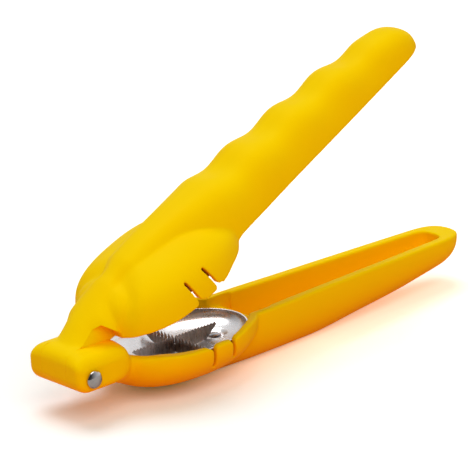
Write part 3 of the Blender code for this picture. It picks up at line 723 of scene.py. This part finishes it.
def barbs(centre):
    made = []
    offset = (centre - jaw["centre"]) / (cupShape["halfLength"] + tool["seat"])
    wall = (cupShape["halfWidth"] + tool["seat"]) * math.sqrt(1 - offset ** 2)
    foot = tool["rim"] - cupShape["drop"] + tool["seat"] / 2
    half = finger["width"] / 2 - finger["barbMargin"]
    outer = (jaw["halfWidth"] + wall) / 2
    for side in (-1, 1):
        rings = []
        for x in (centre - half, centre + half):
            corners = (
                (wall - finger["barbReach"], foot),
                (outer, foot),
                (outer, foot + finger["barbHeight"]),
                (wall, foot + finger["barbHeight"]),
                (wall - finger["barbReach"], foot + finger["barbHeight"] / 2),
            )
            rings.append(np.array([(x, side * y, z) for y, z in corners]))
        made.append(ringSkin("barb", rings, Matrix.Identity(4)))
    return made


def crossBore(name):
    radius, half = hingeBlock["pinHole"], hingeBlock["past"]
    profile = [(0, -half), (radius, -half), (radius, half), (0, half)]
    return turnedSkin(name, profile, acrossTool, hingeBlock["boreSteps"])


def fuse(piece):
    # Fuses the shaped solid into one even skin with slightly rounded edges.
    grain = tool["grain"]
    addModifier(piece, "REMESH", mode="VOXEL", voxel_size=grain, adaptivity=0.0, use_smooth_shade=True)
    addModifier(piece, "SMOOTH", factor=0.5, iterations=tool["smoothRounds"])
    bake(piece)


acrossTool = Matrix.Rotation(math.pi / 2, 4, "X")


def blockSkin(name, rear, rearRadius, place):
    size = hingeBlock
    outline = roundedOutline((
        (size["front"], size["bottom"], size["noseRadius"]),
        (rear, size["bottom"], size["noseRadius"]),
        (rear, size["top"], rearRadius),
        (size["front"], size["top"], size["noseRadius"]),
    ))
    return pillow(name, outline, size, place)


def near(points, centre, reach):
    # 1 within half the reach of the centre, falling to 0 at the reach.
    distance = np.linalg.norm((points - np.array(centre)) / np.array(reach), axis=1)
    return np.clip(2 - 2 * distance, 0, 1)


def countFaces(piece):
    print("  ", piece.name, len(piece.data.polygons), "faces")


def buildLowerLever():
    flat = Matrix.Identity(4)
    half, past = hingeBlock["slotHalf"], hingeBlock["past"]
    piece = ringSkin("lowerMoulding", lowerRings(lowerLever["start"], 0, None, True), flat)
    shape(piece, [blockSkin("cheeks", hingeBlock["rear"], hingeBlock["rearRadius"], flat)], "UNION")
    above = tool["rim"] + tool["openPast"]
    rings = lowerRings(lowerLever["channelStart"], lowerLever["sideWall"], above, False)
    webCut = prism("webCut", lowerLever["webCut"], -lowerLever["webHalf"], lowerLever["webHalf"], flat)
    cutters = [ringSkin("channel", rings, flat), webCut]
    shape(piece, [*jawCutters(), *cutters, *slitCutters(lowerLever["slits"])], "DIFFERENCE")
    shape(piece, barbs(lowerLever["fingerCentre"]), "UNION")
    keel, skim = tool["rim"] - lowerLever["keel"], lowerLever["restBlock"]
    low = (skim["start"], -skim["halfWidth"], keel - skim["depth"])
    high = (skim["end"], skim["halfWidth"], keel + lowerLever["restSkim"])
    shape(piece, [block("restPlane", low, high, flat)], "DIFFERENCE")
    fuse(piece)
    points = coordinates(piece)
    points[:, 1] = np.abs(points[:, 1])
    for centre, reach, rounds, strength in lowerLever["fillets"]:
        soften(piece, near(points, centre, reach), rounds, strength)
    slot = block("tongueSlot", (-past, -half, -past), (hingeBlock["slotEnd"], half, past), flat)
    aboveWeb = block("aboveWeb", (-past, -half, tool["rim"]), (hingeBlock["webEnd"], half, past), flat)
    shape(piece, [slot, aboveWeb, crossBore("earBore")], "DIFFERENCE")
    countFaces(piece)
    piece.data.transform(lowerPlace)
    shadeSmooth(piece, tool["sharpAngle"])
    return piece


def buildUpperLever():
    flat = Matrix.Identity(4)
    closeUp = Matrix.Rotation(openAngle, 4, "Y")
    piece = ringSkin("upperMoulding", upperRings(upperLever["start"], 0, None, True), flat)
    knuckle = blockSkin("knuckle", hingeBlock["knuckleRear"], hingeBlock["knuckleRadius"], closeUp)
    shape(piece, [knuckle], "UNION")
    shape(piece, [turnOver(cutter) for cutter in jawCutters()], "DIFFERENCE")
    rings = upperRings(upperLever["channelStart"], tool["wall"], tool["rim"] - tool["openPast"], False)
    shape(piece, [ringSkin("channel", rings, flat), *slitCutters(upperLever["slits"])], "DIFFERENCE")
    shape(piece, [turnOver(barb) for barb in barbs(upperLever["fingerCentre"])], "UNION")
    fuse(piece)
    turned = coordinates(piece) @ np.array(Matrix.Rotation(-openAngle, 3, "Y")).T
    centre, reach, rounds = upperLever["fillet"]
    soften(piece, near(turned, centre, reach), rounds)
    for side in (-1, 1):
        lowY, highY = sorted((side * hingeBlock["tongueHalf"], side * hingeBlock["past"]))
        shape(piece, [prism("earRoom", hingeBlock["earRoom"], lowY, highY, flat)], "DIFFERENCE")
    shape(piece, [crossBore("tongueBore")], "DIFFERENCE")
    countFaces(piece)
    piece.data.transform(upperPlace)
    shadeSmooth(piece, tool["sharpAngle"])
    return piece


print("lower lever")
lowerMoulding = buildLowerLever()
finish(lowerMoulding, "lower_lever", "yellow_plastic", plastic, "lower_handle")
print("upper lever")
upperMoulding = buildUpperLever()
finish(upperMoulding, "upper_lever", "yellow_plastic", plastic, "upper_handle")


# Cups

def cupFloor(alongX, alongY):
    # Height of the cup's inner face at a place given from its centre.
    sheet = cupShape["sheet"]
    share = math.hypot(alongX / (cupShape["halfLength"] - sheet), alongY / (cupShape["halfWidth"] - sheet))
    fall = max(0, 1 - min(1, share) ** cupShape["roundness"]) ** (1 / cupShape["roundness"])
    return tool["rim"] - cupShape["drop"] - (cupShape["depth"] - sheet) * fall


def buildCup(name):
    # The pressed skin, open at the top, with a flat pad for its rivet, then given its sheet thickness.
    profile = bowlProfile(cupShape["depth"], 0, cupShape["down"])[2:]
    place = Matrix.Translation((jaw["centre"], 0, tool["rim"] - cupShape["drop"]))
    size = Matrix.Diagonal((cupShape["halfLength"], cupShape["halfWidth"], 1, 1))
    piece = turnedSkin(name, profile, place @ size, cupShape["around"])
    level = cupFloor(cupShape["rivetAt"], 0) - cupShape["sheet"]
    blend = cupShape["padBlend"]
    bm = bmesh.new()
    bm.from_mesh(piece.data)
    if sum(face.normal.z for face in bm.faces) > 0:
        bmesh.ops.reverse_faces(bm, faces=bm.faces)
    for vert in bm.verts:
        reach = math.hypot(vert.co.x - jaw["centre"] - cupShape["rivetAt"], vert.co.y)
        share = min(1, max(0, (blend - reach) / (blend - cupShape["padFlat"])))
        vert.co.z += (level - vert.co.z) * share * share * (3 - 2 * share)
    bm.to_mesh(piece.data)
    bm.free()
    addModifier(piece, "SOLIDIFY", thickness=cupShape["sheet"], offset=-1.0, use_even_offset=True)
    width = cupShape["edgeRound"]
    addModifier(piece, "BEVEL", width=width, segments=3, limit_method="ANGLE", angle_limit=50 * deg)
    bake(piece)
    return piece


# Rivets, pin and washer

rivet = {
    "headRadius": 2.1,
    "headHeight": 0.9,
    "shoulder": 0.25,
    "radius": 1.1,
    "length": 5.0,
    "gap": 0.03,         # between the head and the cup's floor
    "steps": 48,
    "sharpAngle": 40,
}
headEdge = {"rise": 0.08, "inset": 0.1}      # small bevel under each head


def domeProfile(radius, height, base, shoulder, steps=14):
    # Down the outer side: the dome, then a short upright edge.
    points = []
    for i in range(steps + 1):
        angle = math.pi / 2 * i / steps
        points.append((radius * math.sin(angle), base + shoulder + (height - shoulder) * math.cos(angle)))
    points.append((radius, base + headEdge["rise"]))
    points.append((radius - headEdge["inset"], base))
    return points


def buildRivet(name):
    floor = cupFloor(cupShape["rivetAt"], 0)
    seat, foot = floor + rivet["gap"], floor - rivet["length"]
    profile = domeProfile(rivet["headRadius"], rivet["headHeight"], seat, rivet["shoulder"])
    profile += [(rivet["radius"], seat), (rivet["radius"], foot), (0, foot)]
    place = Matrix.Translation((jaw["centre"] + cupShape["rivetAt"], 0, 0))
    return turnedSkin(name, profile, place, rivet["steps"])


pin = {
    "radius": 1.8,
    "headRadius": 2.8,
    "headHeight": 1.6,
    "shoulder": 0.3,
    "tailRadius": 2.6,
    "tailHeight": 1.0,
    "tailShoulder": 0.2,
    "washerRadius": 3.5,
    "washerThickness": 0.8,
    "washerGap": 0.2,
    "washerEdge": 0.12,
    "washerBoreEdge": 0.1,
    "steps": 64,
    "sharpAngle": 40,
}


def buildPin():
    nearFace = hingeBlock["halfWidth"] + tool["seat"]
    farFace = hingeBlock["halfWidth"] + pin["washerThickness"] + 2 * tool["seat"]
    profile = domeProfile(pin["headRadius"], pin["headHeight"], nearFace, pin["shoulder"])
    profile += [(pin["radius"], nearFace), (pin["radius"], -farFace)]
    tail = domeProfile(pin["tailRadius"], pin["tailHeight"], farFace, pin["tailShoulder"])
    profile += [(radius, -height) for radius, height in reversed(tail)]
    return turnedSkin("pinSteelRivet", profile, acrossTool, pin["steps"])


def buildWasher():
    inner, outer = pin["radius"] + pin["washerGap"], pin["washerRadius"]
    high = -(hingeBlock["halfWidth"] + tool["seat"])
    low = high - pin["washerThickness"]
    edge, boreEdge = pin["washerEdge"], pin["washerBoreEdge"]
    profile = [(inner, high), (outer - edge, high), (outer, high - edge), (outer, low + edge)]
    profile += [(outer - edge, low), (inner + boreEdge, low), (inner, low + boreEdge), (inner, high)]
    return turnedSkin("pinWasher", profile, acrossTool, pin["steps"])


# Blades

bladeShapes = {
    "long": {"half": 17.4, "pitch": 1.35, "tooth": 0.6, "lean": 0.5},
    "cross": {"half": 15.6, "pitch": 1.7, "tooth": 1.5, "lean": 0.8},
}
bladeStrip = {
    "thickness": 0.8,
    "edge": 0.14,          # thickness of the ground edge
    "grind": 2.0,          # height of the ground faces
    "leastGrind": 0.1,
    "leastFlank": 0.05,
    "drop": 3.5,
    "slant": 4.6,          # length of the slanted ends
    "endDrop": 0.25,
    "toothTip": 0.94,      # share of the tooth's long side up to its blunted tip
    "tipDrop": 0.05,
    "lap": 0.25,
    "slotHalf": 3,
    "slotTop": 9,
    "slotBottom": -30,
    "sharpAngle": 20,
}


def buildBlade(name, look, floorAt):
    # Columns of three levels: foot, start of the ground edge, and the teeth.
    top = tool["rim"] - bladeStrip["drop"]
    count = round(2 * look["half"] / look["pitch"])
    pitch = 2 * look["half"] / count
    columns = []
    for i in range(count):
        start = -look["half"] + pitch * i
        rise = pitch * look["lean"]
        columns.append((start, top - look["tooth"]))
        columns.append((start + rise * bladeStrip["toothTip"], top - bladeStrip["tipDrop"]))
        columns.append((start + rise, top))
    columns.append((look["half"], top - look["tooth"]))
    rings = []
    thick, fine = bladeStrip["thickness"] / 2, bladeStrip["edge"] / 2
    for place, crest in columns:
        foot = floorAt(place) + tool["seat"]
        toEnd = (look["half"] - abs(place)) / bladeStrip["slant"]
        shoulder = top - bladeStrip["grind"]
        if toEnd < 1:
            endFoot = floorAt(look["half"] - bladeStrip["slant"]) + tool["seat"]
            foot = (top - look["tooth"] - bladeStrip["endDrop"]) * (1 - toEnd) + endFoot * toEnd
        shoulder = max(min(shoulder, crest - bladeStrip["leastGrind"]), foot + bladeStrip["leastFlank"])
        foot = min(foot, shoulder - bladeStrip["leastFlank"])
        rings.append(np.array([
            (place, -thick, foot), (place, -thick, shoulder), (place, -fine, crest),
            (place, fine, crest), (place, thick, shoulder), (place, thick, foot),
        ]))
    return ringSkin(name, rings, Matrix.Identity(4))


def lapHeight():
    top = tool["rim"] - bladeStrip["drop"]
    return (top + cupFloor(0, 0) + tool["seat"]) / 2


def buildBlades():
    flat = Matrix.Identity(4)
    centre = Matrix.Translation((jaw["centre"], 0, 0))
    lap, reach = bladeStrip["lap"], bladeStrip["slotHalf"]
    half = bladeStrip["thickness"] / 2 + lap
    longBlade = buildBlade("longBlade", bladeShapes["long"], lambda place: cupFloor(place, 0))
    low, high = (-half, -reach, lapHeight() - lap), (half, reach, bladeStrip["slotTop"])
    shape(longBlade, [block("lapSlot", low, high, flat)], "DIFFERENCE")
    longBlade.data.transform(centre)
    crossBlade = buildBlade("crossBlade", bladeShapes["cross"], lambda place: cupFloor(0, place))
    low, high = (-half, -reach, bladeStrip["slotBottom"]), (half, reach, lapHeight() + lap)
    shape(crossBlade, [block("lapSlot", low, high, flat)], "DIFFERENCE")
    crossBlade.data.transform(centre @ Matrix.Rotation(math.pi / 2, 4, "Z"))
    return longBlade, crossBlade


def seated(piece, place, sharp=None):
    piece.data.transform(place)
    shadeSmooth(piece, sharp)
    return piece


print("cups and rivets")
lowerCup = seated(buildCup("lowerCup"), lowerPlace)
finish(lowerCup, "lower_lever", "pressed_steel", cupSteel, "lower_cup")
upperCup = seated(turnOver(buildCup("upperCup")), upperPlace)
finish(upperCup, "upper_lever", "pressed_steel", cupSteel, "upper_cup")
lowerRivet = seated(buildRivet("lowerRivet"), lowerPlace, rivet["sharpAngle"])
finish(lowerRivet, "lower_lever", "pin_steel", pinSteel, "lower_cup_rivet")
upperRivet = seated(turnOver(buildRivet("upperRivet")), upperPlace, rivet["sharpAngle"])
finish(upperRivet, "upper_lever", "pin_steel", pinSteel, "upper_cup_rivet")
pinPiece = seated(buildPin(), lowerPlace, pin["sharpAngle"])
finish(pinPiece, "lower_lever", "pin_steel", pinSteel, "hinge_pin")
washerPiece = seated(buildWasher(), lowerPlace, pin["sharpAngle"])
finish(washerPiece, "lower_lever", "pin_steel", pinSteel, "hinge_washer")
print("blades")
longBlade, crossBlade = (seated(blade, lowerPlace, bladeStrip["sharpAngle"]) for blade in buildBlades())
finish(longBlade, "lower_lever", "blade_steel", bladeSteel, "long_blade")
finish(crossBlade, "lower_lever", "blade_steel", bladeSteel, "cross_blade")


# Floor, lights and camera

studio = {
    "floorSize": 6.0,
    "floorPaintedBounce": (0.88, 0.48, 0.3, 1),     # painted warm bounce light: the floor's colour for bounced rays only, as if the tool's own colour came back from it
    # painted reflection: the floor's colour in reflections only, darker than it is seen
    "floorPaintedReflection": (0.5, 0.48, 0.46, 1),
    "floorSeen": (0.97, 1.03, 1.1, 1),       # part of the seen floor that shadows take away
    "hingePaintedTint": (0.07, 0.055, 0.0, 1),      # painted warm shadow tint, which stays where shadows fall; both together are white
    "handlePaintedGlow": (0.62, 0.34, 0.18, 1),     # painted orange glow in the shadows, stronger beside the handles
    "liftTurns": (-0.035, 0.02),             # metres along X between the two
    "farLift": (0.6, 0.5, 0.5, 1),           # keeps the floor white where the fill light fades
    "farFrom": (0.35, 0.9),                  # metres from the tool
    "worldLight": 0.4,
    "mirrorSky": (0.04, 1.0),                # sky that steel mirrors, on its dark and bright side
    "brightSide": (0.9, 0.4, -0.2),
    "skyTurns": (-0.7, 0.9),
    "sunStrength": 1.3,
    "sunFrom": (0.05, 0.3, 1.0),
    "sunAngle": 38,
    "fillPower": 11.0,
    "fillColour": (1, 0.88, 0.74),
    "fillPlace": (-0.5, -1.05, 1.1),
    "fillSize": 1.3,
    "aim": (0, 0, 0.02),
}


def buildFloor():
    half = studio["floorSize"] / 2
    mesh = bpy.data.meshes.new("paleFloor")
    corners = [(-half, -half, 0), (half, -half, 0), (half, half, 0), (-half, half, 0)]
    mesh.from_pydata(corners, [], [(0, 1, 2, 3)])
    floor = bpy.data.objects.new("paleFloor", mesh)
    bpy.context.scene.collection.objects.link(floor)
    material, tree, shader, place = nodeMaterial("paleFloor")
    tree.nodes.remove(shader)
    matte = tree.nodes.new("ShaderNodeBsdfDiffuse")
    rays = tree.nodes.new("ShaderNodeLightPath")
    glossyRay, cameraRay = rays.outputs["Is Glossy Ray"], rays.outputs["Is Camera Ray"]
    # Bounced rays see the painted warm bounce colour; reflections see the painted darker floor.
    mirrored = mixedColour(tree, glossyRay, studio["floorPaintedBounce"], studio["floorPaintedReflection"])
    tone = mixedColour(tree, cameraRay, mirrored, studio["floorSeen"])
    tree.links.new(tone, matte.inputs["Color"])
    # A glow seen only by the camera: white lift on the open floor, and a painted warm tint in the shadows
    # that turns orange beside the handles.
    lift = tree.nodes.new("ShaderNodeEmission")
    sides = tree.nodes.new("ShaderNodeSeparateXYZ")
    tree.links.new(place.outputs["Object"], sides.inputs["Vector"])
    along = mapped(tree, sides.outputs["X"], studio["liftTurns"])
    paintedGlow = mixedColour(tree, along, studio["hingePaintedTint"], studio["handlePaintedGlow"])
    distance = tree.nodes.new("ShaderNodeVectorMath")
    distance.operation = "LENGTH"
    tree.links.new(place.outputs["Object"], distance.inputs[0])
    away = mapped(tree, distance.outputs["Value"], studio["farFrom"])
    tree.links.new(mixedColour(tree, away, paintedGlow, studio["farLift"]), lift.inputs["Color"])
    tree.links.new(cameraRay, lift.inputs["Strength"])
    both = tree.nodes.new("ShaderNodeAddShader")
    tree.links.new(matte.outputs[0], both.inputs[0])
    tree.links.new(lift.outputs[0], both.inputs[1])
    tree.links.new(both.outputs[0], tree.nodes["Material Output"].inputs["Surface"])
    mesh.materials.append(material)


def buildWorld():
    world = bpy.data.worlds.new("paleSky")
    bpy.context.scene.world = world
    world.use_nodes = True
    tree = world.node_tree
    background = tree.nodes["Background"]
    background.inputs["Color"].default_value = (1, 1, 1, 1)
    place = tree.nodes.new("ShaderNodeTexCoord")
    facing = tree.nodes.new("ShaderNodeVectorMath")
    facing.operation = "DOT_PRODUCT"
    facing.inputs[1].default_value = studio["brightSide"]
    tree.links.new(place.outputs["Generated"], facing.inputs[0])
    shade = mapped(tree, facing.outputs["Value"], studio["skyTurns"], studio["mirrorSky"])
    rays = tree.nodes.new("ShaderNodeLightPath")
    mirrored = mixed(tree, rays.outputs["Is Glossy Ray"], studio["worldLight"], shade)
    strength = mixed(tree, rays.outputs["Is Camera Ray"], mirrored, 1.0)
    tree.links.new(strength, background.inputs["Strength"])


def aimed(name, light, place):
    lamp = bpy.data.objects.new(name, light)
    lamp.location = place
    lamp.rotation_euler = (Vector(studio["aim"]) - Vector(place)).to_track_quat("-Z", "Y").to_euler()
    bpy.context.scene.collection.objects.link(lamp)
    return lamp


def buildLamps():
    sun = bpy.data.lights.new("highSun", "SUN")
    sun.energy = studio["sunStrength"]
    sun.angle = studio["sunAngle"] * deg
    aimed("highSun", sun, studio["sunFrom"])
    fill = bpy.data.lights.new("sideFill", "AREA")
    fill.energy = studio["fillPower"]
    fill.color = studio["fillColour"]
    fill.size = studio["fillSize"]
    aimed("sideFill", fill, studio["fillPlace"]).visible_glossy = False


camera = {
    "side": 40.5,            # degrees between the view and +Y, towards +X
    "drop": 18.7,            # degrees that the view looks down
    "roll": -3.43,
    "distance": 1.0,         # metres from the hinge pin
    "focalPixels": 3227,
    "frame": 470,
    "pinPixel": (67.27, 369.38),
    "sensor": 36.0,
    "farthest": 20,
}


def buildCamera():
    side, drop, roll = (camera[key] * deg for key in ("side", "drop", "roll"))
    forward = Vector((math.sin(side) * math.cos(drop), math.cos(side) * math.cos(drop), -math.sin(drop)))
    right = Vector((math.cos(side), -math.sin(side), 0))
    up = right.cross(forward)
    turnedRight = math.cos(roll) * right + math.sin(roll) * up
    right, up = turnedRight, math.cos(roll) * up - math.sin(roll) * right
    perPixel = camera["distance"] / camera["focalPixels"]
    alongRight = (camera["pinPixel"][0] - camera["frame"] / 2) * perPixel
    alongUp = (camera["frame"] / 2 - camera["pinPixel"][1]) * perPixel
    data = bpy.data.cameras.new("photoView")
    data.sensor_width = camera["sensor"]
    data.lens = camera["focalPixels"] / camera["frame"] * camera["sensor"]
    data.clip_end = camera["farthest"]
    view = bpy.data.objects.new("photoView", data)
    axes = Matrix((right, up, -forward)).transposed().to_4x4()
    place = pinPlace - camera["distance"] * forward - alongRight * right - alongUp * up
    view.matrix_world = Matrix.Translation(place) @ axes
    bpy.context.scene.collection.objects.link(view)
    bpy.context.scene.camera = view


print("stage")
buildFloor()
buildWorld()
buildLamps()
buildCamera()
bpy.context.scene.view_settings.view_transform = "Standard"
